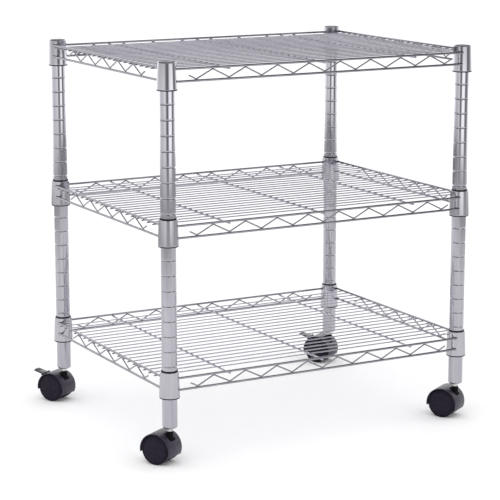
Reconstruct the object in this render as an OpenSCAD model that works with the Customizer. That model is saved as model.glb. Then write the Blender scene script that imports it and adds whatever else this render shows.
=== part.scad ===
// Wire shelf cart: three welded wire shelves clipped on four grooved posts,
// on four twin-wheel casters, the two rear ones with a brake lever.
// X runs along the long front side, Y to the back, Z up from the floor.

/* [Frame] */
// Distance between post centres along the long side
post_span_x = 572; // [420:1:900]
// Distance between post centres along the short side
post_span_y = 436; // [360:1:600]
// Outside diameter of a post
post_d = 25.4; // [22:0.1:28]
// Wall of the post tube
post_wall = 1.2; // [0.8:0.1:2]
// Height of the bottom end of the posts above the floor
post_bottom = 62; // [60:1:70]
// Length of a post
post_length = 603; // [560:1:640]
// Distance from one groove to the next
groove_pitch = 25.4; // [20:0.1:30]
// Height of a groove
groove_w = 1.4; // [0.8:0.1:2]
// Depth of a groove
groove_depth = 0.5; // [0.3:0.1:0.7]
// Plain length of post under the lowest groove
groove_start = 55.4; // [40:0.1:70]

/* [Shelves] */
// Height of the front top rail of the bottom shelf
shelf_z = 148; // [130:1:170]
// Number of grooves from one shelf to the next
shelf_steps = 10; // [7:1:10]
// Diameter of the rim rails
rail_d = 4; // [3.5:0.1:5]
// Distance between the top and bottom rail of a side
rail_gap = 20; // [16:0.5:26]
// How far the rails lie outside the line of the post centres
rail_out = 12.5; // [11:0.1:13]
// Diameter of the zigzag truss wire
truss_d = 2.5; // [2:0.1:3]
// Length of one full zigzag
truss_pitch = 60; // [50:1:70]
// Diameter of the wires under the deck
cross_d = 3.4; // [3:0.1:4]
// Distance between the wires under the deck
cross_pitch = 180; // [120:1:200]
// Diameter of the deck wires
deck_d = 2.4; // [2:0.1:3]
// Distance between deck wires
deck_pitch = 20.4; // [18:0.1:20.4]
// Number of deck wires
deck_count = 20; // [12:1:20]

/* [Collars] */
// Height of a corner collar
collar_h = 43.5; // [40:0.5:50]
// Outside diameter of a collar at its top
collar_top_d = 31.4; // [31:0.1:33]
// Outside diameter of a collar at its bottom
collar_bottom_d = 34.6; // [34:0.1:36]
// Wall of a collar
collar_wall = 1.5; // [1.2:0.1:1.6]
// Height of the collar above the top rail
collar_rise = 10.5; // [9:0.5:12]

/* [Casters] */
// Wheel diameter
wheel_d = 50; // [46:1:52]
// Width of one wheel
wheel_w = 16; // [14:0.5:18]
// Distance from the stem axis to the wheel axis
trail = 18; // [16:0.5:20]
// Direction in which the casters trail at rest, from the X axis
trail_angle = 122; // [90:1:150]
// Diameter of the wheel axle
axle_d = 6; // [5:0.5:8]
// Diameter of the caster stem
stem_d = 11; // [10:0.1:12]
// Thickness of the web between the wheels
web_w = 10; // [10:0.5:12]
// Outside radius of the hood over the wheels
hood_r = 28.4; // [28:0.1:30]
// Wall of the hood
hood_wall = 2; // [1.5:0.1:2.2]
// Length of the brake lever behind its pin
lever_length = 22; // [18:1:26]
// Width of the brake lever
lever_w = 16; // [12:1:20]

/* [Hidden] */

$fn = 48;
eps = 0.01;

// The four corners, as signs of X and Y
FRONT_LEFT = [-1, -1];
FRONT_RIGHT = [1, -1];
REAR_LEFT = [-1, 1];
REAR_RIGHT = [1, 1];
CORNERS = [FRONT_LEFT, FRONT_RIGHT, REAR_LEFT, REAR_RIGHT];

// Colours
PLATED = "silver";
PLASTIC = [0.15, 0.14, 0.16];

// Wires are welded together with this much overlap
weld = 0.3;
// Gap between parts that are clipped or slid together
slide_gap = 0.05;
// Radial gap of a bore that turns on a pin
running_gap = 0.05;

// Levels of one shelf, measured from its front top rail
cross_z = -rail_d / 2 - cross_d / 2 + weld;
deck_z = cross_z + cross_d / 2 + deck_d / 2 - weld;
side_z = deck_z + deck_d / 2 + rail_d / 2 - weld;
collar_bottom_z = collar_rise - collar_h;
shelf_pitch = shelf_steps * groove_pitch;
SHELF_Z = [shelf_z, shelf_z + shelf_pitch, shelf_z + 2 * shelf_pitch];

// Planes of the rails
rail_y = post_span_y / 2 + rail_out;
rail_x = post_span_x / 2 + rail_out;
deck_length = 2 * (rail_x + rail_d / 2 + 2.6);
cross_length = 2 * (rail_y + rail_d / 2 - 0.4);

// Zigzag: apex lines touch the rails, and the cut ends stop short of the corners
truss_apex = rail_d / 2 + truss_d / 2 - weld;
truss_rise = rail_gap - 2 * truss_apex;
front_truss_count = 16;
side_truss_count = 9;
front_stub = 0.44;
side_front_stub = 0.42;
side_rear_stub = 0.75;

// Sleeves
sleeve_rise = 2;
sleeve_lip = 1.6;
sleeve_lip_r = collar_bottom_d / 2 - 0.3;
sleeve_split = 1.2;

// Casters
axle_z = wheel_d / 2;
wheel_gap = 0.6;
wheel_mid = web_w / 2 + wheel_gap + wheel_w / 2;
hood_w = web_w + 2 * (wheel_gap + wheel_w) - 1;
hood_rear = 10;
hood_front = 205;
notch_w = 15;
notch_z = axle_z + 15;
notch_back = 9;
stem_top = post_bottom + 34;
stem_bottom = axle_z + 8;
swivel_pin_d = 7;
hood_top = post_bottom - 5.5;
stem_flange_d = 12;
boss_d = 13;
insert_h = 32;
insert_gap = 2;

// Brake lever. Its shoe lies off the line to the axle at rest, and on it when
// the lever is down, which brings the shoe close to the treads.
lever_pin_angle = 42;
lever_pin_r = 32.2;
lever_pin_d = 3;
lever_hub_r = 3.2;
lever_tilt = 12;
lever_travel = 18;
lever_t = 3;
shoe_t = 2.4;
shoe_length = lever_pin_r - wheel_d / 2 - 0.35;
shoe_angle = 180 + lever_pin_angle - lever_tilt + lever_travel;
shoe_clear_r = wheel_d / 2 - 0.2;
window_h = 12;

// Trailing casters reach further back and left than they do to the front and
// right, so the post square stands off the middle of the footprint.
trail_x = trail * cos(trail_angle);
trail_y = trail * sin(trail_angle);
caster_half_y = sin(trail_angle) * wheel_d / 2 - cos(trail_angle) * (wheel_mid + wheel_w / 2);
lever_reach = trail + lever_pin_r * cos(lever_pin_angle) + lever_length * cos(lever_tilt);
lever_reach_y = lever_reach * sin(trail_angle) - cos(trail_angle) * lever_w / 2;
frame_shift = [-trail_x, (caster_half_y - trail_y - lever_reach_y) / 2];

module at_corner(corner)
    translate([frame_shift[0] + corner[0] * post_span_x / 2,
               frame_shift[1] + corner[1] * post_span_y / 2, 0])
        children();

module at_shelf(z)
    translate([frame_shift[0], frame_shift[1], z])
        children();

// Round bar along X, centred
module bar_x(length, d)
    rotate([0, 90, 0])
        cylinder(h = length, d = d, center = true);

// Round bar along Y, centred
module bar_y(length, d)
    rotate([90, 0, 0])
        cylinder(h = length, d = d, center = true);

// Post: plated tube with a ring groove every pitch
module post(corner) {
    groove_count = floor((post_length - groove_start - groove_pitch / 2) / groove_pitch) + 1;
    outline = concat(
        [[post_d / 2 - post_wall, 0], [post_d / 2 - 0.6, 0], [post_d / 2, 0.6]],
        [for (i = [0:groove_count - 1], corner_point = [0:3])
            let (z = groove_start + i * groove_pitch,
                 r = corner_point == 1 || corner_point == 2 ? post_d / 2 - groove_depth : post_d / 2)
            [r, z + (corner_point < 2 ? -groove_w / 2 : groove_w / 2)]],
        [[post_d / 2, post_length], [post_d / 2 - post_wall, post_length]]);
    color(PLATED) at_corner(corner)
        translate([0, 0, post_bottom])
            rotate_extrude($fn = 64) polygon(outline);
}

// Cap pressed into the top of a post
module post_cap(corner) {
    plug_r = post_d / 2 - post_wall;
    color(PLASTIC) at_corner(corner)
        translate([0, 0, post_bottom + post_length])
            rotate_extrude($fn = 64)
                polygon([[0, -12], [plug_r - 1, -12], [plug_r, -11], [plug_r, 0],
                         [post_d / 2, 0], [post_d / 2, 1.5], [post_d / 2 - 1, 2.5], [0, 2.5]]);
}

// Plastic inserts in the foot of the posts, which grip the caster stems
module post_inserts() {
    color(PLASTIC)
        for (corner = CORNERS)
            at_corner(corner)
                translate([0, 0, post_bottom + insert_gap])
                    difference() {
                        cylinder(h = insert_h, r = post_d / 2 - post_wall);
                        translate([0, 0, -eps])
                            cylinder(h = insert_h + 2 * eps, d = stem_d);
                    }
}

// Outside cone of a corner collar, grown by a margin
module collar_cone(margin)
    translate([0, 0, collar_bottom_z])
        cylinder(h = collar_h, r1 = collar_bottom_d / 2 + margin, r2 = collar_top_d / 2 + margin);

// Four corner collars of one shelf
module collars(z) {
    bore_bottom = collar_bottom_d / 2 - collar_wall;
    bore_top = collar_top_d / 2 - collar_wall;
    color(PLATED)
        for (corner = CORNERS)
            at_corner(corner)
                translate([0, 0, z + collar_bottom_z])
                    rotate_extrude($fn = 64)
                        polygon([[bore_bottom, 0], [collar_bottom_d / 2, 0],
                                 [collar_top_d / 2, collar_h], [bore_top, collar_h]]);
}

// Rim of one shelf: a top and a bottom rail on each side, coped to the collars
module rails(z) {
    color(PLATED)
        difference() {
            at_shelf(z) {
                for (side = [-1, 1], level = [0, -rail_gap]) {
                    translate([0, side * rail_y, level])
                        bar_x(post_span_x - 8, rail_d);
                    translate([side * rail_x, 0, side_z + level])
                        bar_y(post_span_y - 8, rail_d);
                }
            }
            for (corner = CORNERS)
                at_corner(corner)
                    translate([0, 0, z]) collar_cone(-weld / 2);
        }
}

// One straight leg of a zigzag in the XZ plane, from one point to another
module leg(from, to, overrun_from, overrun_to) {
    run = to[0] - from[0];
    rise = to[1] - from[1];
    length = norm([run, rise]);
    translate([from[0], 0, from[1]])
        rotate([0, atan2(run, rise), 0])
            translate([0, 0, -overrun_from])
                cylinder(h = length + overrun_from + overrun_to, d = truss_d, $fn = 32);
}

// Zigzag wire along X. It starts at start_x on the apex line start_up (1 top, 0 bottom),
// has count legs of half a pitch, and a cut end of a part of a leg at each end.
module zigzag(start_x, start_up, count, stub_first, stub_last) {
    half = truss_pitch / 2;
    overrun = truss_d / 3;
    function level(i) = (i + start_up) % 2 == 0 ? 0 : truss_rise;
    for (i = [0:count - 1])
        leg([start_x + i * half, level(i)], [start_x + (i + 1) * half, level(i + 1)],
            overrun, overrun);
    leg([start_x, level(0)],
        [start_x - stub_first * half, level(0) + stub_first * (level(1) - level(0))],
        overrun, 0);
    leg([start_x + count * half, level(count)],
        [start_x + (count + stub_last) * half,
         level(count) + stub_last * (level(count + 1) - level(count))],
        overrun, 0);
}

// Zigzag wires between the rails of one shelf, one on each side
module trusses(z) {
    color(PLATED)
        at_shelf(z - rail_gap + truss_apex) {
            for (side = [-1, 1])
                translate([0, side * rail_y, 0])
                    zigzag(-front_truss_count * truss_pitch / 4, 0, front_truss_count,
                           front_stub, front_stub);
            for (side = [-1, 1])
                translate([side * rail_x, 0, side_z])
                    rotate([0, 0, 90])
                        zigzag(-side_truss_count * truss_pitch / 4 - truss_pitch / 4, 0,
                               side_truss_count, side_front_stub, side_rear_stub);
        }
}

// Three wires under the deck, from front rail to back rail
module cross_wires(z) {
    color(PLATED)
        at_shelf(z + cross_z)
            for (i = [-1:1])
                translate([i * cross_pitch, 0, 0]) bar_y(cross_length, cross_d);
}

// Deck wires, from side rail to side rail
module deck_wires(z) {
    color(PLATED)
        at_shelf(z + deck_z)
            for (i = [0:deck_count - 1])
                translate([0, (i - (deck_count - 1) / 2) * deck_pitch, 0])
                    bar_x(deck_length, deck_d);
}

// Tapered split sleeve between a post and a collar: two halves with a lip at the foot
module sleeve(z, corner) {
    // the top sleeves end flush with their collars, the others stand proud
    rise = z == SHELF_Z[2] ? 0 : sleeve_rise;
    bottom_r = collar_bottom_d / 2 - collar_wall - slide_gap;
    top_r = collar_top_d / 2 - collar_wall - slide_gap;
    bore_r = post_d / 2 + slide_gap;
    color(PLASTIC) at_corner(corner)
        translate([0, 0, z + collar_bottom_z - slide_gap])
            difference() {
                rotate_extrude($fn = 64)
                    polygon([[bore_r, -sleeve_lip], [sleeve_lip_r, -sleeve_lip], [sleeve_lip_r, 0],
                             [bottom_r, 0], [top_r, collar_h], [top_r, collar_h + rise],
                             [bore_r, collar_h + rise]]);
                translate([0, 0, collar_h / 2])
                    cube([sleeve_split, 3 * post_d, 2 * collar_h], center = true);
            }
}

// Places a caster piece: X is the trailing direction and Y the axle, at the stem axis
module at_caster(corner)
    at_corner(corner)
        rotate([0, 0, trail_angle])
            children();

// Steel stem, fixed in the foot of a post, with the pin that the hood turns on
module stem(corner) {
    color(PLATED) at_caster(corner) {
        translate([0, 0, post_bottom])
            cylinder(h = stem_top - post_bottom, d = stem_d);
        translate([0, 0, hood_top + 0.4])
            cylinder(h = post_bottom - hood_top - 0.4, d = stem_flange_d);
        translate([0, 0, stem_bottom])
            cylinder(h = post_bottom - stem_bottom, d = swivel_pin_d);
    }
}

// Moves to the pin of the brake lever, X pointing away from the axle
module at_lever_pin()
    rotate([0, -lever_pin_angle, 0])
        translate([lever_pin_r, 0, 0])
            children();

// Turned disc about the wheel axis
module about_axle(width, r)
    rotate([90, 0, 0])
        cylinder(h = width, r = r, center = true, $fn = 96);

// Wedge below the hood, left open for the wheels
module hood_opening() {
    reach = 2 * hood_r;
    angles = [hood_front, (hood_front + 360 - hood_rear) / 2, 360 - hood_rear];
    rotate([90, 0, 0])
        linear_extrude(height = 2 * hood_w, center = true)
            polygon(concat([[0, 0]], [for (a = angles) reach * [cos(a), sin(a)]]));
}

// Lugs for the brake pin, measured from the pin
module lever_lugs()
    for (side = [-1, 1])
        translate([0, side * (lever_w / 2 + 2), 0])
            rotate([90, 0, 0]) {
                cylinder(h = 3, r = 3, center = true);
                translate([-3, 0, 0]) cube([6, 6, 3], center = true);
            }

// Hood and web of a caster, in one moulding that turns on the stem
module hood(corner) {
    inner_r = hood_r - hood_wall;
    braked = corner[1] > 0;
    color(PLASTIC) at_caster(corner)
        difference() {
            union() {
                translate([trail, 0, axle_z]) {
                    // fender over both wheels, notched round the stem
                    difference() {
                        about_axle(hood_w, hood_r);
                        about_axle(2 * hood_w, inner_r);
                        hood_opening();
                        translate([-trail - boss_d, -notch_w / 2, notch_z - axle_z])
                            cube([boss_d + notch_back, notch_w, hood_r]);
                    }
                    // web between the wheels
                    difference() {
                        about_axle(web_w, hood_r - hood_wall / 2);
                        hood_opening();
                    }
                    about_axle(web_w, 9);
                    if (braked) at_lever_pin() lever_lugs();
                }
                translate([0, 0, notch_z - 8])
                    cylinder(h = hood_top - notch_z + 8, d = boss_d);
            }
            // room for the wheels on both sides of the web
            for (side = [-1, 1])
                translate([trail, side * (web_w / 2 + hood_w / 2), axle_z])
                    about_axle(hood_w, inner_r - eps);
            translate([trail, 0, axle_z]) about_axle(2 * hood_w, axle_d / 2);
            translate([0, 0, stem_bottom - 0.5])
                cylinder(h = post_bottom, d = swivel_pin_d + 2 * running_gap);
            if (braked)
                translate([trail, 0, axle_z]) at_lever_pin() {
                    about_axle(2 * lever_w, lever_pin_d / 2);
                    translate([-lever_pin_r + shoe_clear_r, -lever_w / 2 - 0.5, -window_h / 2])
                        cube([hood_r - shoe_clear_r + 1, lever_w + 1, window_h]);
                }
        }
}

// Axle through the web and both wheels
module axle(corner) {
    color(PLATED) at_caster(corner)
        translate([trail, 0, axle_z])
            rotate([90, 0, 0])
                cylinder(h = 2 * (wheel_mid + wheel_w / 2) - 6, d = axle_d, center = true);
}

// One wheel, with a domed outer face and a hub recess inside
module wheel(corner, side) {
    r = wheel_d / 2;
    bore_r = axle_d / 2 + running_gap;
    w = wheel_w;
    color(PLASTIC) at_caster(corner)
        translate([trail, side * (wheel_mid - wheel_w / 2), axle_z])
            rotate([-90 * side, 0, 0])
                rotate_extrude($fn = 96)
                    polygon([[bore_r, 0], [9, 0], [9, 3], [r - 4, 3], [r - 4, 0], [r - 1, 0],
                             [r, 1.5], [r, w - 3], [r - 1, w - 1.6], [r - 2.6, w - 0.8],
                             [r - 3, w - 1.3], [r - 3.6, w - 0.8], [10, w], [0, w],
                             [0, w - 2.6], [bore_r, w - 2.6]]);
}

// Brake lever: a paddle behind the pin, and a shoe that is pushed to the treads
module brake_lever(corner) {
    color(PLASTIC) at_caster(corner)
        translate([trail, 0, axle_z]) at_lever_pin()
            rotate([0, lever_pin_angle - lever_tilt, 0])
                rotate([90, 0, 0])
                    linear_extrude(height = lever_w, center = true)
                        difference() {
                            union() {
                                circle(r = lever_hub_r);
                                translate([0, -lever_t / 2])
                                    square([lever_length - lever_t / 2, lever_t]);
                                translate([lever_length - lever_t / 2, 0])
                                    circle(d = lever_t);
                                rotate([0, 0, shoe_angle])
                                    translate([0, -shoe_t / 2])
                                        square([shoe_length, shoe_t]);
                            }
                            circle(d = lever_pin_d + 2 * running_gap);
                        }
}

// Pin of a brake lever, pressed into the lugs of the hood
module brake_pin(corner) {
    color(PLATED) at_caster(corner)
        translate([trail, 0, axle_z]) at_lever_pin()
            about_axle(lever_w + 7, lever_pin_d / 2);
}

post(FRONT_LEFT);  // post_front_left
post(FRONT_RIGHT);  // post_front_right
post(REAR_LEFT);  // post_rear_left
post(REAR_RIGHT);  // post_rear_right
post_cap(FRONT_LEFT);  // cap_front_left
post_cap(FRONT_RIGHT);  // cap_front_right
post_cap(REAR_LEFT);  // cap_rear_left
post_cap(REAR_RIGHT);  // cap_rear_right
post_inserts();
collars(SHELF_Z[0]);  // bottom_collars
collars(SHELF_Z[1]);  // middle_collars
collars(SHELF_Z[2]);  // top_collars
rails(SHELF_Z[0]);  // bottom_rails
rails(SHELF_Z[1]);  // middle_rails
rails(SHELF_Z[2]);  // top_rails
trusses(SHELF_Z[0]);  // bottom_trusses
trusses(SHELF_Z[1]);  // middle_trusses
trusses(SHELF_Z[2]);  // top_trusses
cross_wires(SHELF_Z[0]);  // bottom_cross_wires
cross_wires(SHELF_Z[1]);  // middle_cross_wires
cross_wires(SHELF_Z[2]);  // top_cross_wires
deck_wires(SHELF_Z[0]);  // bottom_deck_wires
deck_wires(SHELF_Z[1]);  // middle_deck_wires
deck_wires(SHELF_Z[2]);  // top_deck_wires
sleeve(SHELF_Z[0], FRONT_LEFT);  // bottom_sleeve_front_left
sleeve(SHELF_Z[0], FRONT_RIGHT);  // bottom_sleeve_front_right
sleeve(SHELF_Z[0], REAR_LEFT);  // bottom_sleeve_rear_left
sleeve(SHELF_Z[0], REAR_RIGHT);  // bottom_sleeve_rear_right
sleeve(SHELF_Z[1], FRONT_LEFT);  // middle_sleeve_front_left
sleeve(SHELF_Z[1], FRONT_RIGHT);  // middle_sleeve_front_right
sleeve(SHELF_Z[1], REAR_LEFT);  // middle_sleeve_rear_left
sleeve(SHELF_Z[1], REAR_RIGHT);  // middle_sleeve_rear_right
sleeve(SHELF_Z[2], FRONT_LEFT);  // top_sleeve_front_left
sleeve(SHELF_Z[2], FRONT_RIGHT);  // top_sleeve_front_right
sleeve(SHELF_Z[2], REAR_LEFT);  // top_sleeve_rear_left
sleeve(SHELF_Z[2], REAR_RIGHT);  // top_sleeve_rear_right
stem(FRONT_LEFT);  // stem_front_left
stem(FRONT_RIGHT);  // stem_front_right
stem(REAR_LEFT);  // stem_rear_left
stem(REAR_RIGHT);  // stem_rear_right
hood(FRONT_LEFT);  // hood_front_left
hood(FRONT_RIGHT);  // hood_front_right
hood(REAR_LEFT);  // hood_rear_left
hood(REAR_RIGHT);  // hood_rear_right
axle(FRONT_LEFT);  // axle_front_left
axle(FRONT_RIGHT);  // axle_front_right
axle(REAR_LEFT);  // axle_rear_left
axle(REAR_RIGHT);  // axle_rear_right
wheel(FRONT_LEFT, 1);  // wheel_front_left_outer
wheel(FRONT_LEFT, -1);  // wheel_front_left_inner
wheel(FRONT_RIGHT, 1);  // wheel_front_right_outer
wheel(FRONT_RIGHT, -1);  // wheel_front_right_inner
wheel(REAR_LEFT, 1);  // wheel_rear_left_outer
wheel(REAR_LEFT, -1);  // wheel_rear_left_inner
wheel(REAR_RIGHT, 1);  // wheel_rear_right_outer
wheel(REAR_RIGHT, -1);  // wheel_rear_right_inner
brake_lever(REAR_LEFT);  // brake_lever_left
brake_lever(REAR_RIGHT);  // brake_lever_right
brake_pin(REAR_LEFT);  // brake_pin_left
brake_pin(REAR_RIGHT);  // brake_pin_right
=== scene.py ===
"""Wire shelf cart: three chromed wire shelves on four grooved posts and four twin-wheel casters."""
import math

import bmesh
import bpy
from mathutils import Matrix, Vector


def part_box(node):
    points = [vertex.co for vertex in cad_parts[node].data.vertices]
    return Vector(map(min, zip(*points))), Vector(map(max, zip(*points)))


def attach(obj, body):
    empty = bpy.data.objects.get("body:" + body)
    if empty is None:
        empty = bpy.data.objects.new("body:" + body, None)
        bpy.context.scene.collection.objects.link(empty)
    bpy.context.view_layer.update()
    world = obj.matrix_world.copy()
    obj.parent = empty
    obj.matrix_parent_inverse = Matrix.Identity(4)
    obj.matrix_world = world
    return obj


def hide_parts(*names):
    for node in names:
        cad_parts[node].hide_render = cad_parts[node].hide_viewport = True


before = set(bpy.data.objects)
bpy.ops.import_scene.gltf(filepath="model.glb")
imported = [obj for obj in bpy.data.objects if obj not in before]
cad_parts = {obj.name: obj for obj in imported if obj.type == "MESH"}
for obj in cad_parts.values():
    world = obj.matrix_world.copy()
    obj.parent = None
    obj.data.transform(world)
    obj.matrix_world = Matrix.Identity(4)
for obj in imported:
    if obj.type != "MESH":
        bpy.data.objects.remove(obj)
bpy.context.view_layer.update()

# ---------------------------------------------------------------- sizes, in millimetres
MM = 0.001
CORNERS = {"front_left": (-1, -1), "front_right": (1, -1), "rear_left": (-1, 1), "rear_right": (1, 1)}
SHELVES = ("bottom", "middle", "top")

POST_R = 12.7
POST_WALL = 1.2
POST_LENGTH = 603
GROOVE_START = 55.4
GROOVE_PITCH = 25.4
GROOVE_COUNT = 21
# Half of a groove, as distance from its middle and depth, with soft shoulders
GROOVE_HALF = ((1.9, 0.0), (1.3, 0.0), (0.95, 0.12), (0.5, 0.48), (0.0, 0.6))
FOOT_ROUND = 3.8

COLLAR_H = 43.5
COLLAR_RISE = 10.5
COLLAR_BOTTOM = COLLAR_RISE - COLLAR_H
COLLAR_TOP_R = 15.7
COLLAR_BOTTOM_R = 17.3
COLLAR_WALL = 1.5
SLEEVE_RISE = 2.0

RAIL_R = 2.0
RAIL_GAP = 20.0
RAIL_OUT = 12.5
SIDE_LIFT = 2.1
TRUSS_R = 1.25
TRUSS_HALF = 30.0
BEND_R = 3.6
DECK_R = 1.1
DECK_DROP = -0.8
DECK_LENGTH = 606.2
DECK_PITCH = 20.4
DECK_COUNT = 20
CROSS_R = 1.7
CROSS_DROP = -3.4
CROSS_LENGTH = 464.2
CROSS_PITCH = 180.0
WELD_SINK = 0.3
# Weld beads, as half sizes along, across and up
RAIL_BEAD = (1.0, 3.1, 2.7)
TRUSS_BEAD = (2.6, 1.2, 0.55)
CROSS_BEAD = (2.1, 2.3, 0.7)
DECK_BEAD = (1.6, 1.3, 0.5)
DECK_END_BEAD = (2.0, 1.6, 0.6)

TRAIL = 18.0
TRAIL_ANGLE = 122.0
WHEEL_R = 25.0
WHEEL_W = 16.0
WHEEL_INSIDE = 5.6
HOOD_R = 28.4
HOOD_WALL = 2.0
HOOD_HALF_W = 21.1
HOOD_REAR = -10.0
HOOD_FRONT = 205.0
NOTCH_HALF_W = 8.0
NOTCH_FLOOR = 40.0
NOTCH_FRONT = 9.0
WEB_HALF_W = 5.0
BOSS_R = 5.7
BOSS_TOP = 56.5
STEM_TOP = 96.0
POST_FOOT = 62.0
PIN_ANGLE = 42.0
PIN_REACH = 32.2
LEVER_TILT = 12.0
LEVER_TRAVEL = 18.0
LEVER_LENGTH = 22.0
LEVER_HALF_W = 8.0


def box_centre(node):
    """Middle of a CAD node's box, in millimetres."""
    low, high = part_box(node)
    return (low + high) / 2 / MM


POSTS = {corner: box_centre("post_" + corner) for corner in CORNERS}
CART = (POSTS["front_left"] + POSTS["rear_right"]) / 2
HALF_X = POSTS["front_right"].x - CART.x
HALF_Y = POSTS["rear_left"].y - CART.y
SHELF_Z = {shelf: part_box(shelf + "_collars")[1].z / MM - COLLAR_RISE for shelf in SHELVES}
RAIL_X = HALF_X + RAIL_OUT
RAIL_Y = HALF_Y + RAIL_OUT


# ---------------------------------------------------------------- bench work
def nothing_selected():
    if bpy.context.mode != "OBJECT":
        bpy.ops.object.mode_set(mode="OBJECT")
    bpy.ops.object.select_all(action="DESELECT")


def take(piece):
    """Make this the only selected object."""
    nothing_selected()
    piece.select_set(True)
    bpy.context.view_layer.objects.active = piece
    return piece


def fresh(name):
    """Name the primitive just added, and put its place and turn into its mesh."""
    piece = bpy.context.active_object
    piece.name = name
    piece.data.name = name
    bpy.ops.object.transform_apply(location=True, rotation=True, scale=True)
    return piece


def put(piece, move=(0, 0, 0), turned=(0, 0, 0)):
    """Turn a piece by degrees about the axes, move it by millimetres, and put both into its mesh."""
    take(piece)
    piece.rotation_euler = [math.radians(angle) for angle in turned]
    piece.location = Vector(move) * MM
    bpy.ops.object.transform_apply(location=True, rotation=True, scale=True)
    return piece


def another(piece, name):
    """A copy of a piece with a mesh of its own."""
    take(piece)
    bpy.ops.object.duplicate()
    copy = bpy.context.active_object
    copy.name = name
    copy.data.name = name
    return copy


def joined(name, pieces):
    """Several pieces made into one object."""
    take(pieces[0])
    for piece in pieces[1:]:
        piece.select_set(True)
    bpy.ops.object.join()
    pieces[0].name = name
    pieces[0].data.name = name
    return pieces[0]


def scrap(piece):
    bpy.data.objects.remove(piece)


def edit(piece):
    take(piece)
    bpy.ops.object.mode_set(mode="EDIT")
    bpy.ops.mesh.select_mode(type="VERT")
    bpy.ops.mesh.select_all(action="SELECT")


def pick(piece, kind, wanted):
    """In edit mode, select the vertices, edges or faces that pass a test of their middle, in mm,
    and their direction."""
    bpy.ops.mesh.select_mode(type=kind)
    bpy.ops.mesh.select_all(action="DESELECT")
    mesh = bmesh.from_edit_mesh(piece.data)
    mesh.faces.ensure_lookup_table()
    if kind == "FACE":
        for face in mesh.faces:
            face.select_set(wanted(face.calc_center_median() / MM, face.normal))
    elif kind == "EDGE":
        for edge in mesh.edges:
            ends = [vert.co for vert in edge.verts]
            edge.select_set(wanted((ends[0] + ends[1]) / 2 / MM, (ends[1] - ends[0]).normalized()))
    else:
        for vert in mesh.verts:
            vert.select_set(wanted(vert.co / MM, vert.normal))
    mesh.select_flush_mode()
    bmesh.update_edit_mesh(piece.data)


def done(piece):
    """Leave edit mode with the doubles merged and the faces pointing outwards."""
    bpy.ops.mesh.select_mode(type="VERT")
    bpy.ops.mesh.select_all(action="SELECT")
    bpy.ops.mesh.remove_doubles(threshold=0.002 * MM)
    bpy.ops.mesh.normals_make_consistent(inside=False)
    bpy.ops.object.mode_set(mode="OBJECT")
    return piece


def turn(name, profile, sides, first_pole=False, last_pole=False):
    """Turned piece on the Z axis: one ring, extruded and scaled through (radius, height) points."""
    radius, height = profile[0]
    nothing_selected()
    bpy.ops.mesh.primitive_circle_add(vertices=sides, radius=radius * MM, location=(0, 0, height * MM))
    piece = fresh(name)
    edit(piece)
    for next_radius, next_height in profile[1:]:
        lift = (next_height - height) * MM
        bpy.ops.mesh.extrude_edges_move(TRANSFORM_OT_translate={"value": (0, 0, lift)})
        grow = next_radius / radius
        bpy.ops.transform.resize(value=(grow, grow, 1), center_override=(0, 0, next_height * MM))
        radius, height = next_radius, next_height
    if last_pole:
        bpy.ops.mesh.merge(type="CENTER")
    if first_pole:
        start_r, start_z = profile[0]
        pick(piece, "VERT", lambda at, _: at.xy.length < start_r * 1.01 and abs(at.z - start_z) < 0.001)
        bpy.ops.mesh.merge(type="CENTER")
    return done(piece)


def round_ends(piece, rounding):
    """Round the edges of the many-sided faces that close the ends of a swept piece."""
    edit(piece)
    bpy.ops.mesh.select_mode(type="FACE")
    mesh = bmesh.from_edit_mesh(piece.data)
    for face in mesh.faces:
        face.select_set(len(face.verts) > 4)
    bmesh.update_edit_mesh(piece.data)
    bpy.ops.mesh.bevel(offset=rounding * MM, segments=2, affect="EDGES")
    return done(piece)


def bar(name, radius, length, sides, rounding=0.0):
    """Round bar along X with its cut ends rounded."""
    nothing_selected()
    bpy.ops.mesh.primitive_cylinder_add(
        vertices=sides, radius=radius * MM, depth=length * MM, rotation=(0, math.pi / 2, 0))
    piece = fresh(name)
    edit(piece)
    if rounding:
        end = length / 2
        pick(piece, "EDGE", lambda at, way: abs(abs(at.x) - end) < 0.01)
        bpy.ops.mesh.bevel(offset=rounding * MM, segments=3, affect="EDGES")
    return done(piece)


def block(name, low, high, rounding=0.0, segments=3):
    """Block between two corners, in mm, with all its edges rounded."""
    nothing_selected()
    size = Vector(high) - Vector(low)
    middle = (Vector(high) + Vector(low)) / 2
    bpy.ops.mesh.primitive_cube_add(size=1, location=middle * MM, scale=size * MM)
    piece = fresh(name)
    edit(piece)
    if rounding:
        bpy.ops.mesh.bevel(offset=rounding * MM, segments=segments, affect="EDGES")
    return done(piece)


def disc(name, radius, width, at, sides=96, rounding=0.0):
    """Disc about the Y axis, centred at a place in mm, with its rims rounded."""
    nothing_selected()
    bpy.ops.mesh.primitive_cylinder_add(
        vertices=sides, radius=radius * MM, depth=width * MM, location=Vector(at) * MM,
        rotation=(math.pi / 2, 0, 0))
    piece = fresh(name)
    edit(piece)
    if rounding:
        face_y = width / 2
        pick(piece, "EDGE", lambda mid, way: abs(abs(mid.y - at[1]) - face_y) < 0.01)
        bpy.ops.mesh.bevel(offset=rounding * MM, segments=3, affect="EDGES")
    return done(piece)


def bead(name, at, size, turned=0.0):
    """Weld bead: a small flattened drop of metal."""
    nothing_selected()
    bpy.ops.mesh.primitive_uv_sphere_add(
        segments=8, ring_count=5, radius=MM, location=Vector(at) * MM,
        rotation=(0, 0, math.radians(turned)), scale=size)
    return fresh(name)


def carve(piece, tool, operation):
    """Cut a tool out of a piece, or weld it on, and throw the tool away."""
    take(piece)
    work = piece.modifiers.new(operation, "BOOLEAN")
    work.operation = operation
    work.solver = "EXACT"
    work.object = tool
    bpy.ops.object.modifier_apply(modifier=work.name)
    scrap(tool)
    edit(piece)
    return done(piece)


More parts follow.
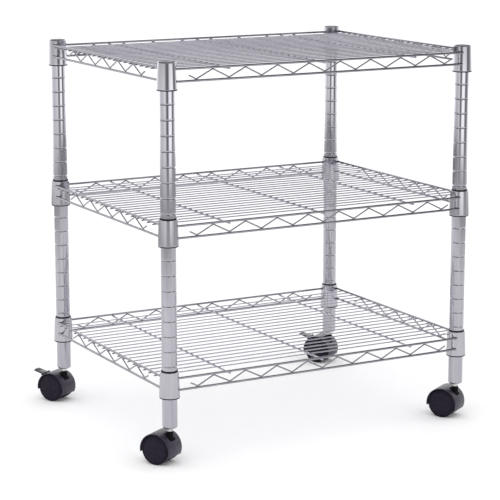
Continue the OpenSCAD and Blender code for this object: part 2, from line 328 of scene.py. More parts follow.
def finish_piece(piece, body, material, replaced=(), smooth=32):
    """Shade a piece, give it its material, and hand it to its body in place of its CAD nodes."""
    take(piece)
    bpy.ops.object.shade_smooth_by_angle(angle=math.radians(smooth))
    if not piece.data.materials:
        piece.data.materials.append(material)
    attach(piece, body)
    if replaced:
        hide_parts(*replaced)
    return piece


# ---------------------------------------------------------------- materials
def linear(hex_colour):
    """sRGB hex to the linear colour that a shader takes."""
    parts = [int(hex_colour[i:i + 2], 16) / 255 for i in (1, 3, 5)]
    return [c / 12.92 if c <= 0.04045 else ((c + 0.055) / 1.055) ** 2.4 for c in parts] + [1.0]


def per(size):
    """Texture scale for a feature of this many millimetres."""
    return 1 / (size * MM)


def add(tree, kind, settings, links=()):
    """Add a node with its settings and its links."""
    node = tree.nodes.new(kind)
    for key, value in settings.items():
        if isinstance(key, str) and hasattr(node, key):
            setattr(node, key, value)
        else:
            node.inputs[key].default_value = value
    for key, source in dict(links).items():
        tree.links.new(source, node.inputs[key])
    return node


def start_material(name, colour, metallic, roughness, **sockets):
    material = bpy.data.materials.new(name)
    material.use_nodes = True
    shader = material.node_tree.nodes["Principled BSDF"]
    shader.inputs["Base Color"].default_value = linear(colour)
    shader.inputs["Metallic"].default_value = metallic
    shader.inputs["Roughness"].default_value = roughness
    for socket, value in sockets.items():
        shader.inputs[socket.replace("_", " ")].default_value = value
    return material, material.node_tree, shader


def chrome_plate(name, light, dark, smooth, rough, line_size, line_stretch):
    """Bright nickel-chrome plate on steel. The eye gets a cool mirror with faint polishing
    lines, and soft hand smudges that dull it in patches."""
    material, tree, shader = start_material(name, light, 1.0, smooth)
    place = add(tree, "ShaderNodeTexCoord", {})
    smudge = add(tree, "ShaderNodeTexNoise", {"Scale": per(22), "Detail": 4, "Roughness": 0.6},
                 {"Vector": place.outputs["Object"]})
    dulling = add(tree, "ShaderNodeMapRange",
                  {"From Min": 0.35, "From Max": 0.75, "To Min": smooth, "To Max": rough},
                  {"Value": smudge.outputs["Fac"]})
    tree.links.new(dulling.outputs["Result"], shader.inputs["Roughness"])
    drawn = add(tree, "ShaderNodeMapping", {"Scale": line_stretch}, {"Vector": place.outputs["Object"]})
    cloud = add(tree, "ShaderNodeTexNoise", {"Scale": per(5), "Detail": 2},
                {"Vector": drawn.outputs["Vector"]})
    tone = add(tree, "ShaderNodeValToRGB", {}, {"Fac": cloud.outputs["Fac"]})
    tone.color_ramp.elements[0].position = 0.3
    tone.color_ramp.elements[0].color = linear(dark)
    tone.color_ramp.elements[1].position = 0.7
    tone.color_ramp.elements[1].color = linear(light)
    tree.links.new(tone.outputs["Color"], shader.inputs["Base Color"])
    lines = add(tree, "ShaderNodeTexNoise", {"Scale": per(line_size), "Detail": 3},
                {"Vector": drawn.outputs["Vector"]})
    relief = add(tree, "ShaderNodeBump", {"Strength": 0.12, "Distance": 0.01 * MM},
                 {"Height": lines.outputs["Fac"]})
    tree.links.new(relief.outputs["Normal"], shader.inputs["Normal"])
    return material


def moulded_plastic(name, colour, worn, smooth, rough, grain, depth, specular=0.5):
    """Injection-moulded plastic. The eye gets a spark-eroded grain, with handling marks that are
    a little lighter and duller than the rest."""
    material, tree, shader = start_material(name, colour, 0.0, smooth, IOR=1.5)
    shader.inputs["Specular IOR Level"].default_value = specular
    place = add(tree, "ShaderNodeTexCoord", {})
    marks = add(tree, "ShaderNodeTexNoise", {"Scale": per(9), "Detail": 6, "Roughness": 0.65},
                {"Vector": place.outputs["Object"]})
    tone = add(tree, "ShaderNodeValToRGB", {}, {"Fac": marks.outputs["Fac"]})
    tone.color_ramp.elements[0].position = 0.45
    tone.color_ramp.elements[0].color = linear(colour)
    tone.color_ramp.elements[1].position = 0.8
    tone.color_ramp.elements[1].color = linear(worn)
    tree.links.new(tone.outputs["Color"], shader.inputs["Base Color"])
    dulling = add(tree, "ShaderNodeMapRange",
                  {"From Min": 0.35, "From Max": 0.7, "To Min": smooth, "To Max": rough},
                  {"Value": marks.outputs["Fac"]})
    tree.links.new(dulling.outputs["Result"], shader.inputs["Roughness"])
    erosion = add(tree, "ShaderNodeTexNoise", {"Scale": per(grain), "Detail": 2},
                  {"Vector": place.outputs["Object"]})
    relief = add(tree, "ShaderNodeBump", {"Strength": 0.35, "Distance": depth * MM},
                 {"Height": erosion.outputs["Fac"]})
    tree.links.new(relief.outputs["Normal"], shader.inputs["Normal"])
    return material


# chrome on drawn tube: faint lines run up the post, spaced wider than real ones so that they show
POST_CHROME = chrome_plate("chrome_plated_drawn_tube", "#B6B5BC", "#A4A3AB", 0.05, 0.12, 0.8, (1, 1, 0.03))
# chrome on pressed collars: lines run up the collar, and it is a little lighter than the posts
COLLAR_CHROME = chrome_plate(
    "chrome_plated_pressed_steel", "#B9B8BF", "#ACABB2", 0.05, 0.12, 0.8, (1, 1, 0.05))
# chrome on drawn rod: a darker, softer mirror than the tubes, with a fine orange peel
RAIL_CHROME = chrome_plate("chrome_plated_rod", "#9B9AA1", "#8E8D94", 0.13, 0.22, 1.1, (1, 1, 1))
# the same plate on the thin deck wires, given a paler tone than the rails as painted light
WIRE_CHROME = chrome_plate("chrome_plated_wire", "#B7B6C0", "#A7A6B0", 0.15, 0.25, 0.9, (1, 1, 1))
# zinc on turned steel: paler and duller than chrome, with rings from the lathe
STEM_ZINC = chrome_plate("zinc_plated_turned_steel", "#DCDCDC", "#C4C4C5", 0.24, 0.36, 0.5, (0.05, 0.05, 1))
PIN_STEEL = chrome_plate("brushed_pin_steel", "#B4B5B6", "#9A9B9D", 0.28, 0.42, 0.4, (1, 1, 1))

# moulded nylon hood: near black with a violet cast, satin
HOOD_NYLON = moulded_plastic("moulded_nylon_hood", "#2E2838", "#433D4D", 0.30, 0.42, 0.7, 0.03, 0.28)
# the same nylon inside the stem socket: duller, and coloured near black as painted shade, so that the socket
# reads as deep
SOCKET_SHADE_NYLON = moulded_plastic("unpolished_nylon_socket_painted_shade", "#08070A", "#131117", 0.55, 0.70, 0.7, 0.03, 0.1)
# polished ABS wheel cover: smoother than the hood
WHEEL_ABS = moulded_plastic("moulded_abs_wheel", "#181222", "#231D2C", 0.24, 0.36, 0.9, 0.02, 0.15)
# hard nylon tread: dull, scuffed grey by the floor
TREAD_NYLON = moulded_plastic("scuffed_nylon_tread", "#141019", "#2E2A33", 0.50, 0.72, 0.6, 0.05, 0.2)
LEVER_ABS = moulded_plastic("moulded_abs_lever", "#231D2B", "#443E4C", 0.26, 0.40, 0.7, 0.02, 0.4)
# polypropylene wedge sleeves: waxy black
SLEEVE_PP = moulded_plastic("moulded_polypropylene_sleeve", "#0E0C11", "#1E1C22", 0.40, 0.55, 0.6, 0.03, 0.2)
# soft polyethylene cap: grey black, a little lighter in patches
CAP_PE = moulded_plastic("moulded_polyethylene_cap", "#28272D", "#48474F", 0.38, 0.55, 0.8, 0.03, 0.4)
INSERT_PE = moulded_plastic("moulded_polyethylene_insert", "#2A292E", "#3E3D43", 0.45, 0.60, 0.8, 0.03)


# ---------------------------------------------------------------- posts
def arc(centre, radius, start, end, steps):
    """Points of a rounded edge in a turned profile, from one angle to another."""
    angles = [math.radians(start + (end - start) * i / steps) for i in range(steps + 1)]
    return [(centre[0] + radius * math.cos(a), centre[1] + radius * math.sin(a)) for a in angles]


def make_post():
    """Tube with a rolled-in foot and a ring groove with soft shoulders every inch."""
    bore = POST_R - POST_WALL
    profile = [(bore, POST_LENGTH), (bore, 5.0), (8.9, 1.6)]
    profile += arc((POST_R - FOOT_ROUND, FOOT_ROUND), FOOT_ROUND, -90, 0, 6) + [(POST_R, FOOT_ROUND + 0.8)]
    groove = [(-away, depth) for away, depth in GROOVE_HALF]
    groove += [(away, depth) for away, depth in GROOVE_HALF[-2::-1]]
    for i in range(GROOVE_COUNT):
        middle = GROOVE_START + i * GROOVE_PITCH
        profile += [(POST_R - depth, middle + away) for away, depth in groove]
    profile += [(POST_R, POST_LENGTH - 1.0), (POST_R, POST_LENGTH - 0.5), (POST_R - 0.5, POST_LENGTH),
                (bore, POST_LENGTH)]
    return turn("post", profile, 64)


def make_cap():
    """Push-in cap with a rolled rim round a slightly sunk top."""
    plug = POST_R - POST_WALL
    rim = 1.2
    profile = [(0.02, -11.5), (plug - 1.6, -11.5), (plug - 1.0, -11.0), (plug, -9.5), (plug, 0.02)]
    profile += [(POST_R, 0.02), (POST_R, 1.3)] + arc((POST_R - rim, 1.3), rim, 0, 90, 4)
    profile += [(POST_R - 2.2, 2.45), (POST_R - 2.9, 2.1), (POST_R - 5, 1.95), (3.0, 2.05), (0.02, 2.1)]
    return turn("cap", profile, 64, True, True)


def make_insert():
    """Bushing that fills the foot of the post round the caster stem."""
    bore = 5.5
    outside = POST_R - POST_WALL
    profile = [(bore, 1.0), (8.6, 1.0), (8.7, 1.9), (outside - 0.1, 5.2), (outside, 6.0), (outside, 34),
               (bore, 34), (bore, 1.0)]
    return turn("insert", profile, 48)


def make_posts():
    post, cap, insert = make_post(), make_cap(), make_insert()
    for corner, centre in POSTS.items():
        place = (centre.x, centre.y, POST_FOOT)
        tube = put(another(post, "grooved_post_" + corner), place)
        finish_piece(tube, "frame", POST_CHROME, ["post_" + corner])
        plug = put(another(cap, "end_cap_" + corner), (centre.x, centre.y, POST_FOOT + POST_LENGTH))
        finish_piece(plug, "frame", CAP_PE, ["cap_" + corner])
        bush = put(another(insert, "stem_bush_" + corner), place)
        finish_piece(bush, "frame", INSERT_PE, ["post_inserts"])
    for original in (post, cap, insert):
        scrap(original)


# ---------------------------------------------------------------- shelves
def collar_radius(z):
    """Outside radius of a collar at a height above the front top rail."""
    part = (z - COLLAR_BOTTOM) / COLLAR_H
    return COLLAR_BOTTOM_R + (COLLAR_TOP_R - COLLAR_BOTTOM_R) * part


def make_collar():
    """Tapered collar with a rolled foot and a rounded top edge."""
    top, foot = COLLAR_RISE, COLLAR_BOTTOM
    inside_top = COLLAR_TOP_R - COLLAR_WALL
    inside_foot = COLLAR_BOTTOM_R - COLLAR_WALL
    profile = [(inside_top, top - 0.2), (inside_foot, foot + 0.3), (inside_foot + 0.3, foot)]
    profile += arc((COLLAR_BOTTOM_R - 1.0, foot + 1.0), 1.0, -80, 0, 4)
    profile += [(COLLAR_BOTTOM_R - 0.02, foot + 1.6), (COLLAR_BOTTOM_R - 0.06, foot + 2.4)]
    profile += [(COLLAR_TOP_R + 0.03, top - 1.6), (COLLAR_TOP_R, top - 0.8)]
    profile += arc((COLLAR_TOP_R - 0.7, top - 0.7), 0.7, 10, 90, 4)
    profile += [(inside_top + 0.2, top), (inside_top, top - 0.2)]
    return turn("collar", profile, 72)


def make_sleeve_half():
    """Half of the split wedge sleeve, with a lip at the foot."""
    gap = 0.05
    foot = COLLAR_BOTTOM - gap
    bore = POST_R + gap
    lip = COLLAR_BOTTOM_R - 0.35
    foot_r = COLLAR_BOTTOM_R - COLLAR_WALL - gap
    top_r = COLLAR_TOP_R - COLLAR_WALL - gap
    top = COLLAR_RISE + SLEEVE_RISE
    profile = [(bore, top - 0.3), (bore, foot - 1.3), (bore + 0.3, foot - 1.6), (lip - 0.5, foot - 1.6),
               (lip, foot - 1.2), (lip, foot - 0.3), (lip - 0.3, foot), (foot_r, foot), (top_r, COLLAR_RISE),
               (top_r, top - 0.4), (top_r - 0.4, top), (bore + 0.3, top), (bore, top - 0.3)]
    half = turn("sleeve_half", profile, 64)
    edit(half)
    bpy.ops.mesh.bisect(plane_co=(0.6 * MM, 0, 0), plane_no=(1, 0, 0), use_fill=True, clear_inner=True)
    return done(half)


def make_rail(name, half_length, offset, level):
    """Rim rail along X beside two collars: its ends are coped to them and carry weld beads."""
    radius = collar_radius(level)
    entry = math.sqrt(radius ** 2 - RAIL_OUT ** 2)
    rail = put(bar(name, RAIL_R, 2 * half_length, 20), (0, offset, level))
    beads = []
    for end in (-1, 1):
        post_y = offset - math.copysign(RAIL_OUT, offset)
        outward = Vector((-end * entry, offset - post_y, 0)).normalized()
        skin = Vector((end * half_length, post_y, level)) + outward * radius
        edit(rail)
        cut_at = (skin - outward * 0.6) * MM
        bpy.ops.mesh.bisect(plane_co=cut_at, plane_no=-outward, use_fill=True, clear_outer=True)
        done(rail)
        heading = math.degrees(math.atan2(outward.y, outward.x))
        beads.append(bead("bead", skin - outward * 0.2, RAIL_BEAD, heading))
    return joined(name, [rail] + beads)


def make_rails():
    """The eight rim rails of a shelf. The side rails are made lying along X and turned."""
    rails = []
    for level in (0.0, -RAIL_GAP):
        for side in (-1, 1):
            rails.append(make_rail("rail", HALF_X, side * RAIL_Y, level))
            side_rail = make_rail("rail", HALF_Y, side * RAIL_X, level + SIDE_LIFT)
            rails.append(put(side_rail, turned=(0, 0, 90)))
    return joined("rim_rails", rails)


def bend_truss(name, legs, first_stub, last_stub):
    """Zigzag wire in the XZ plane, bent leg by leg. It starts and ends on the lower line, z = 0."""
    apex = RAIL_R + TRUSS_R - WELD_SINK
    rise = RAIL_GAP - 2 * apex
    slope = math.atan2(rise, TRUSS_HALF)
    for _ in range(4):
        sharp = BEND_R * (1 / math.cos(slope) - 1)
        slope = math.atan2(rise + 2 * sharp, TRUSS_HALF)
    leg = TRUSS_HALF / math.cos(slope)
    tangent = BEND_R * math.tan(slope)
    start_x = -legs * TRUSS_HALF / 2 - first_stub * TRUSS_HALF
    start_z = -sharp + first_stub * leg * math.sin(slope)
    nothing_selected()
    bpy.ops.mesh.primitive_circle_add(
        vertices=12, radius=TRUSS_R * MM, location=(start_x * MM, 0, start_z * MM),
        rotation=(0, math.pi / 2 + slope, 0))
    wire = fresh(name)
    edit(wire)
    up = -1
    place = Vector((start_x, 0, start_z))
    for i in range(legs + 2):
        heading = Vector((math.cos(slope), 0, up * math.sin(slope)))
        length = leg - 2 * tangent
        if i == 0:
            length = first_stub * leg - tangent
        if i == legs + 1:
            length = last_stub * leg - tangent
        bpy.ops.mesh.extrude_edges_move(TRANSFORM_OT_translate={"value": heading * length * MM})
        place += heading * length
        if i == legs + 1:
            break
        centre = place + Vector((math.sin(slope), 0, -up * math.cos(slope))) * BEND_R
        bpy.ops.mesh.spin(steps=5, angle=-up * 2 * slope, center=centre * MM, axis=(0, 1, 0))
        chord = 2 * BEND_R * math.sin(slope)
        place += Vector((chord, 0, 0))
        up = -up
    bpy.ops.mesh.select_all(action="SELECT")
    bpy.ops.mesh.fill_holes(sides=0)
    done(wire)
    round_ends(wire, 0.3)
    beads = []
    for i in range(legs + 1):
        x = (i - legs / 2) * TRUSS_HALF
        z = -TRUSS_R + 0.1 if i % 2 == 0 else rise + TRUSS_R - 0.1
        beads.append(bead("bead", (x, 0, z), TRUSS_BEAD))
    return joined(name, [wire] + beads)


def make_trusses():
    """The four zigzag wires of a shelf, on the lines of its rails."""
    lift = -RAIL_GAP + RAIL_R + TRUSS_R - WELD_SINK
    long_wire = bend_truss("truss", 16, 0.44, 0.44)
    short_wire = bend_truss("truss", 9, 0.42, 0.75)
    wires = []
    for side in (-1, 1):
        wires.append(put(another(long_wire, "truss"), (0, side * RAIL_Y, lift)))
        shift = -TRUSS_HALF / 2
        wires.append(put(another(short_wire, "truss"), (side * RAIL_X, shift, lift + SIDE_LIFT), (0, 0, 90)))
    scrap(long_wire)
    scrap(short_wire)
    return joined("truss_wires", wires)


def make_cross_wires():
    """Three stout wires under the deck, from the front rail to the back one."""
    wires = []
    for i in (-1, 0, 1):
        wire = bar("cross", CROSS_R, CROSS_LENGTH, 16, 0.8)
        wires.append(put(wire, (i * CROSS_PITCH, 0, CROSS_DROP), (0, 0, 90)))
        for side in (-1, 1):
            wires.append(bead("bead", (i * CROSS_PITCH, side * RAIL_Y, -RAIL_R + 0.15), CROSS_BEAD))
    return joined("cross_wires", wires)


def make_deck_wires():
    """Deck wires: one wire with a weld bead at each crossing, then a row of twenty."""
    wire = bar("deck", DECK_R, DECK_LENGTH, 12, 0.7)
    beads = [bead("bead", (x, 0, -DECK_R + 0.15), DECK_BEAD) for x in (-CROSS_PITCH, 0, CROSS_PITCH)]
    beads += [bead("bead", (x, 0, DECK_R - 0.15), DECK_END_BEAD) for x in (-RAIL_X, RAIL_X)]
    deck = joined("deck_wires", [wire] + beads)
    put(deck, (0, -(DECK_COUNT - 1) / 2 * DECK_PITCH, DECK_DROP))
    row = deck.modifiers.new("row", "ARRAY")
    row.count = DECK_COUNT
    row.use_relative_offset = False
    row.use_constant_offset = True
    row.constant_offset_displace = (0, DECK_PITCH * MM, 0)
    take(deck)
    bpy.ops.object.modifier_apply(modifier=row.name)
    return deck


def make_shelves():
    collar, sleeve_half = make_collar(), make_sleeve_half()
    shelf_parts = (
        (make_rails(), "rim_rails", "rail_chrome", RAIL_CHROME, "rails"),
        (make_trusses(), "truss_wires", "rail_chrome", RAIL_CHROME, "trusses"),
        (make_cross_wires(), "under_wires", "wire_chrome", WIRE_CHROME, "cross_wires"),
        (make_deck_wires(), "decking", "wire_chrome", WIRE_CHROME, "deck_wires"),
    )
    for shelf in SHELVES:
        level = SHELF_Z[shelf]
        for original, kind, slot, material, node in shelf_parts:
            piece = put(another(original, f"{shelf}_{kind}"), (CART.x, CART.y, level))
            finish_piece(piece, "frame", material, [f"{shelf}_{node}"], 50)
        for corner, centre in POSTS.items():
            place = (centre.x, centre.y, level)
            ring = put(another(collar, f"{shelf}_collar_{corner}"), place)
            finish_piece(ring, "frame", COLLAR_CHROME, [f"{shelf}_collars"])
            halves = [put(another(sleeve_half, "half"), turned=(0, 0, angle)) for angle in (0, 180)]
            wedge = joined(f"{shelf}_wedge_sleeve_{corner}", halves)
            if shelf == "top":
                # the top shelf's sleeves end level with its collars
                edit(wedge)
                pick(wedge, "VERT", lambda at, _: at.z > COLLAR_RISE + 0.5)
                bpy.ops.transform.translate(value=(0, 0, -SLEEVE_RISE * MM))
                done(wedge)
            put(wedge, place)
            finish_piece(wedge, "frame", SLEEVE_PP, [f"{shelf}_sleeve_{corner}"])
    for original in [collar, sleeve_half] + [part[0] for part in shelf_parts]:
        scrap(original)


# ---------------------------------------------------------------- casters
# A caster is made at the stem axis, standing on z = 0, with X the way that it trails and Y its axle.
AXLE = Vector((TRAIL, 0, WHEEL_R))
PIN_WAY = Vector((math.cos(math.radians(PIN_ANGLE)), 0, math.sin(math.radians(PIN_ANGLE))))
LEVER_PIN = AXLE + PIN_REACH * PIN_WAY


def make_stem():
    """Turned stem: grip end, shoulder, neck, and the pin that the hood swivels on."""
    profile = [(0.02, STEM_TOP), (4.6, STEM_TOP), (5.5, STEM_TOP - 1.0), (5.5, 90), (4.9, 89.4), (4.9, 87.2),
               (5.5, 86.6), (5.5, POST_FOOT + 0.4), (5.9, POST_FOOT), (5.9, POST_FOOT - 1.2),
               (5.5, POST_FOOT - 1.6), (5.1, POST_FOOT - 1.8), (5.1, BOSS_TOP + 1.5), (5.5, BOSS_TOP + 1.2),
               (5.6, BOSS_TOP + 0.4), (3.5, BOSS_TOP + 0.4), (3.5, 34.0), (2.8, 33.0), (0.02, 33.0)]
    return turn("stem", profile, 48, True, True)


def make_wheel():
    """Wheel with a crowned tread, a ring groove round its cover, and a hub recess inside."""
    w = WHEEL_W
    profile = [(0.02, w - 2.6), (3.05, w - 2.6), (3.05, 0.3), (3.4, 0.0), (8.6, 0.0), (9.0, 0.4), (9.3, 3.2),
               (20.6, 3.2), (20.9, 0.4), (21.3, 0.0)]
    profile += arc((WHEEL_R - 1.4, 1.4), 1.38, -90, 0, 4)
    profile += [(WHEEL_R, 4.0), (WHEEL_R, 8.0), (WHEEL_R, 12.2)]
    profile += arc((WHEEL_R - 2.6, w - 3.4), 2.58, 5, 85, 6)
    profile += [(22.0, w - 0.8), (21.85, w - 1.0), (21.8, w - 1.7), (21.3, w - 1.7), (21.2, w - 1.0),
                (20.9, w - 0.72), (18.0, w - 0.45), (13.0, w - 0.15), (7.0, w), (0.02, w)]
    wheel = turn("wheel", profile, 72, True, True)
    wheel.data.materials.append(WHEEL_ABS)
    wheel.data.materials.append(TREAD_NYLON)
    edit(wheel)
    pick(wheel, "FACE", lambda at, way: at.xy.length > 23.6 and abs(way.z) < 0.8)
    wheel.active_material_index = 1
    bpy.ops.object.material_slot_assign()
    return done(wheel)


def swept_band(name, inner, outer, half_width, rounding, steps, short):
    """Band about the axle over the wheels, a few degrees short of the hood's rear and front lips."""
    nothing_selected()
    middle = (inner + outer) / 2
    bpy.ops.mesh.primitive_plane_add(size=1, location=(middle * MM, 0, 0))
    bpy.context.active_object.scale = ((outer - inner) * MM, 2 * half_width * MM, 1)
    band = fresh(name)
    edit(band)
    bpy.ops.mesh.bevel(offset=rounding * MM, segments=3, affect="VERTICES")
    bpy.ops.mesh.delete(type="ONLY_FACE")
    bpy.ops.mesh.select_all(action="SELECT")
    sweep = math.radians(HOOD_FRONT - HOOD_REAR - 2 * short)
    bpy.ops.mesh.spin(steps=steps, angle=sweep, center=(0, 0, 0), axis=(0, 1, 0))
    bpy.ops.mesh.select_all(action="SELECT")
    bpy.ops.mesh.fill_holes(sides=0)
    done(band)
    round_ends(band, 0.5 * rounding)
    put(band, turned=(0, -HOOD_REAR - short, 0))
    return put(band, AXLE)


def in_socket_shade(at, way):
    """Whether a face of the hood is in the notch round the stem: its walls, its floor, or the boss. These
    faces take the near-black nylon that paints the shade in the socket.
    """
    spoke = (at - AXLE) * Vector((1, 0, 1))
    below = at.z < NOTCH_FLOOR - 1.0
    if at.xy.length < BOSS_R + 0.3 and not below:
        return True
    if below or at.x > NOTCH_FRONT + 0.3 or abs(at.y) > NOTCH_HALF_W + 0.1 or spoke.length > HOOD_R - 0.3:
        return False
    facing_out = abs(spoke.normalized().dot(way)) > 0.6
    return abs(at.y) < WEB_HALF_W + 0.1 or not facing_out


def make_hood(braked):
    """Hood: a fender over both wheels, a web between them, the stem boss, and lugs for a brake pin."""
    hood = swept_band("hood", HOOD_R - HOOD_WALL, HOOD_R, HOOD_HALF_W, 0.8, 120, 0)
    notch = block("notch", (-34, -NOTCH_HALF_W, NOTCH_FLOOR), (NOTCH_FRONT, NOTCH_HALF_W, 70), 2.0)
    carve(hood, notch, "DIFFERENCE")
    web = swept_band("web", 7.0, HOOD_R - HOOD_WALL / 2, WEB_HALF_W, 0.4, 48, 2.5)
    carve(hood, web, "UNION")
    carve(hood, disc("hub", 9.2, 10.6, AXLE, 52), "UNION")
    boss = turn("boss", [(0.02, 30), (BOSS_R, 30), (BOSS_R, BOSS_TOP - 1.0), (BOSS_R - 0.3, BOSS_TOP - 0.3),
                         (BOSS_R - 0.8, BOSS_TOP), (0.02, BOSS_TOP)], 44, True, True)
    carve(hood, boss, "UNION")
    if braked:
        window = block("window", (-7.4, -8.5, -6.0), (6.0, 8.5, 6.0), 1.0)
        put(window, LEVER_PIN, (0, -PIN_ANGLE, 0))
        carve(hood, window, "DIFFERENCE")
        for side in (-1, 1):
            lug = disc("lug", 2.3, 3.0, (0, side * 10.0, 0), 32)
            carve(lug, block("root", (-6.6, side * 10.0 - 1.3, -2.1), (0, side * 10.0 + 1.3, 2.1)), "UNION")
            put(lug, LEVER_PIN, (0, -PIN_ANGLE, 0))
            carve(hood, lug, "UNION")
    bore = turn("bore", [(0.02, 31), (3.55, 31), (3.55, 70), (0.02, 70)], 32, True, True)
    carve(hood, bore, "DIFFERENCE")
    hood.data.materials.append(HOOD_NYLON)
    hood.data.materials.append(SOCKET_SHADE_NYLON)
    edit(hood)
    # the notch's faces take the near-black nylon: painted shade in the socket round the stem
    pick(hood, "FACE", in_socket_shade)
    hood.active_material_index = 1
    bpy.ops.object.material_slot_assign()
    return done(hood)


def make_lever():
    """Brake lever: a rounded paddle with three grip ribs, a barrel round the pin, and a shoe."""
    lever = block("lever", (-1, -LEVER_HALF_W, -1.5), (LEVER_LENGTH, LEVER_HALF_W, 1.5))
    edit(lever)
    pick(lever, "EDGE", lambda at, way: at.x > LEVER_LENGTH - 0.5 and abs(way.z) > 0.9)
    bpy.ops.mesh.bevel(offset=3.4 * MM, segments=6, affect="EDGES")
    done(lever)
    take(lever)
    softening = lever.modifiers.new("softening", "BEVEL")
    softening.width = 0.7 * MM
    softening.segments = 3
    softening.limit_method = "ANGLE"
    bpy.ops.object.modifier_apply(modifier=softening.name)
    carve(lever, disc("barrel", 2.4, 2 * LEVER_HALF_W, (0, 0, 0), 40, 0.4), "UNION")
    for i in range(3):
        rib_x = LEVER_LENGTH - 9 + i * 2.6
        rib = block("rib", (rib_x, -5.6, 1.0), (rib_x + 1.2, 5.6, 2.0), 0.35)
        carve(lever, rib, "UNION")
    shoe = block("shoe", (0, -LEVER_HALF_W, -1.2), (6.85, LEVER_HALF_W, 1.2), 0.5)
    shoe_way = 180 + PIN_ANGLE - LEVER_TILT + LEVER_TRAVEL
    put(shoe, turned=(0, -shoe_way, 0))
    carve(lever, shoe, "UNION")
    carve(lever, disc("bore", 1.55, 3 * LEVER_HALF_W, (0, 0, 0), 24), "DIFFERENCE")
    put(lever, turned=(0, -LEVER_TILT, 0))
    return put(lever, LEVER_PIN)


def make_casters():
    stem, wheel, lever = make_stem(), make_wheel(), make_lever()
    hoods = {False: make_hood(False), True: make_hood(True)}
    for corner, (_, back) in CORNERS.items():
        place = (POSTS[corner].x, POSTS[corner].y, 0)
        heading = (0, 0, TRAIL_ANGLE)
        shank = put(another(stem, "caster_stem_" + corner), place, heading)
        finish_piece(shank, "frame", STEM_ZINC, ["stem_" + corner])
        cover = put(another(hoods[back > 0], "caster_hood_" + corner), place, heading)
        finish_piece(cover, "swivel_" + corner, HOOD_NYLON, ["hood_" + corner])
        for side, facing in (("outer", 1), ("inner", -1)):
            disc_wheel = another(wheel, f"caster_wheel_{corner}_{side}")
            put(disc_wheel, (TRAIL, facing * WHEEL_INSIDE, WHEEL_R), (-90 * facing, 0, 0))
            put(disc_wheel, place, heading)
            body = f"wheel_{corner}_{side}"
            finish_piece(disc_wheel, body, WHEEL_ABS, [f"wheel_{corner}_{side}"])
        if back > 0:
            hand = corner.split("_")[1]
            pedal = put(another(lever, "brake_pedal_" + hand), place, heading)
            finish_piece(pedal, "brake_lever_" + hand, LEVER_ABS, ["brake_lever_" + hand])
    for original in (stem, wheel, lever, hoods[False], hoods[True]):
        scrap(original)
    pins = ["axle_" + corner for corner in CORNERS] + ["brake_pin_left", "brake_pin_right"]
    for node in pins:
        for material_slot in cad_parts[node].material_slots:
            material_slot.material = PIN_STEEL


# ---------------------------------------------------------------- studio
CAMERA_AT = (-1.63342, -2.96356, 0.98325)
CAMERA_YAW = 28.961
CAMERA_PITCH = 11.55
CAMERA_LENS = 137.8
SURROUNDINGS = 1.14
SOFTBOX_AT = (-1.4, -0.9, 2.6)
SOFTBOX_SIZE = 2.6
SOFTBOX_WATTS = 8
TENT_R = 1.6


def make_studio():
    """Pale floor, even white surroundings, and the tent of panels that the chrome mirrors."""
    nothing_selected()
    bpy.ops.mesh.primitive_plane_add(size=60, location=(CART.x * MM, CART.y * MM, 0))
    floor = bpy.context.active_object
    floor.name = "studio_floor"
    paper, tree, shader = start_material("matt_white_paper", "#F4F4F6", 0.0, 0.9)
    shader.inputs["Specular IOR Level"].default_value = 0.0
    place = add(tree, "ShaderNodeTexCoord", {})
    fibre = add(tree, "ShaderNodeTexNoise", {"Scale": per(400), "Detail": 2},
                {"Vector": place.outputs["Object"]})
    tone = add(tree, "ShaderNodeValToRGB", {}, {"Fac": fibre.outputs["Fac"]})
    tone.color_ramp.elements[0].color = linear("#F7F7F8")
    tone.color_ramp.elements[1].color = linear("#FCFCFD")
    tree.links.new(tone.outputs["Color"], shader.inputs["Base Color"])
    floor.data.materials.append(paper)

    world = bpy.data.worlds.new("white_surroundings")
    world.use_nodes = True
    world.node_tree.nodes["Background"].inputs["Color"].default_value = (1, 1, 1, 1)
    world.node_tree.nodes["Background"].inputs["Strength"].default_value = SURROUNDINGS
    bpy.context.scene.world = world
    make_tent()

    bpy.ops.object.light_add(type="AREA", location=SOFTBOX_AT)
    key = bpy.context.active_object
    key.name = "overhead_softbox"
    key.data.size = SOFTBOX_SIZE
    key.data.energy = SOFTBOX_WATTS
    aim = Vector((CART.x * MM, CART.y * MM, 0.3)) - key.location
    key.rotation_euler = aim.to_track_quat("-Z", "Y").to_euler()


# Brightness of the tent wall by bearing, in degrees from the camera, positive to its right: white cloth
# that is brightest at the back, with a dark slot for the camera and one dark flag to its right
WALL = ((-180, 2.2), (-110, 1.6), (-80, 1.1), (-25, 1.5), (-10, 0.3), (6, 0.3), (20, 2.1), (50, 2.1),
        (62, 0.35), (84, 0.35), (110, 1.6), (180, 2.2))
# The tent's roof: open and dark over the camera, white at the back
CEILING = ((-180, 2.2), (-85, 0.2), (85, 0.2), (115, 0.7), (180, 2.2))
# Brightness of the tent's skirt by height, in metres: white paper, then the grey foot of the wall
SKIRT = ((0.0, 1.0), (0.06, 0.95), (0.12, 0.62), (0.20, 0.62), (0.28, 0.9))


def set_stops(ramp, stops):
    """Give a colour ramp its grey stops, from position and brightness pairs."""
    elements = ramp.color_ramp.elements
    elements.remove(elements[1])
    for i, (position, level) in enumerate(stops):
        element = elements[0] if i == 0 else elements.new(position)
        element.position = position
        element.color = (level, level, level, 1)


def ring_of(tree, bearing, stops):
    """Colour ramp round the tent, from bearing and brightness pairs."""
    ramp = add(tree, "ShaderNodeValToRGB", {}, {"Fac": bearing.outputs["Fac"]})
    set_stops(ramp, [(0.5 + angle / 360, level) for angle, level in stops])
    return ramp


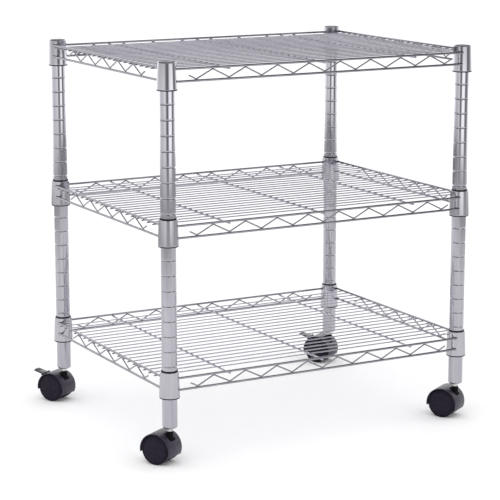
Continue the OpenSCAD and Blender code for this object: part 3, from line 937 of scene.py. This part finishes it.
def make_tent():
    """Dome of light and dark panels, which only mirrors and gloss see."""
    nothing_selected()
    bpy.ops.mesh.primitive_uv_sphere_add(
        segments=96, ring_count=48, radius=TENT_R, location=(CART.x * MM, CART.y * MM, 0))
    tent = bpy.context.active_object
    tent.name = "studio_tent"
    bpy.ops.object.shade_smooth()
    panels = bpy.data.materials.new("glowing_tent_panels")
    panels.use_nodes = True
    tree = panels.node_tree
    tree.nodes.clear()
    place = add(tree, "ShaderNodeTexCoord", {})
    to_camera = math.radians(90 + CAMERA_YAW)
    facing = add(tree, "ShaderNodeMapping", {"Rotation": (0, 0, to_camera)},
                 {"Vector": place.outputs["Object"]})
    bearing = add(tree, "ShaderNodeTexGradient", {"gradient_type": "RADIAL"},
                  {"Vector": facing.outputs["Vector"]})
    wall = ring_of(tree, bearing, WALL)
    ceiling = ring_of(tree, bearing, CEILING)
    height = add(tree, "ShaderNodeSeparateXYZ", {}, {"Vector": place.outputs["Object"]})
    overhead = add(tree, "ShaderNodeMapRange",
                   {"interpolation_type": "SMOOTHSTEP", "From Min": 0.48, "From Max": 0.85},
                   {"Value": height.outputs["Z"]})
    upper = add(tree, "ShaderNodeMix", {"data_type": "RGBA"},
                {0: overhead.outputs["Result"], 6: wall.outputs["Color"], 7: ceiling.outputs["Color"]})
    standing = add(tree, "ShaderNodeMapRange",
                   {"interpolation_type": "SMOOTHSTEP", "From Min": 0.16, "From Max": 0.36},
                   {"Value": height.outputs["Z"]})
    skirt = add(tree, "ShaderNodeValToRGB", {}, {"Fac": height.outputs["Z"]})
    set_stops(skirt, SKIRT)
    whole = add(tree, "ShaderNodeMix", {"data_type": "RGBA"},
                {0: standing.outputs["Result"], 6: skirt.outputs["Color"], 7: upper.outputs[2]})
    glow = add(tree, "ShaderNodeEmission", {"Strength": 1.0}, {"Color": whole.outputs[2]})
    add(tree, "ShaderNodeOutputMaterial", {}, {"Surface": glow.outputs["Emission"]})
    tent.data.materials.append(panels)
    tent.visible_camera = False
    tent.visible_diffuse = False
    tent.visible_shadow = False
    tent.visible_transmission = False


def make_camera():
    bpy.ops.object.camera_add()
    camera = bpy.context.active_object
    camera.name = "camera"
    camera.location = CAMERA_AT
    camera.rotation_euler = (math.radians(90 - CAMERA_PITCH), 0, -math.radians(CAMERA_YAW))
    camera.data.lens = CAMERA_LENS
    camera.data.sensor_width = 36
    camera.data.clip_end = 100
    bpy.context.scene.camera = camera
    bpy.context.scene.view_settings.view_transform = "Standard"


make_posts()
make_shelves()
make_casters()
make_studio()
make_camera()
nothing_selected()
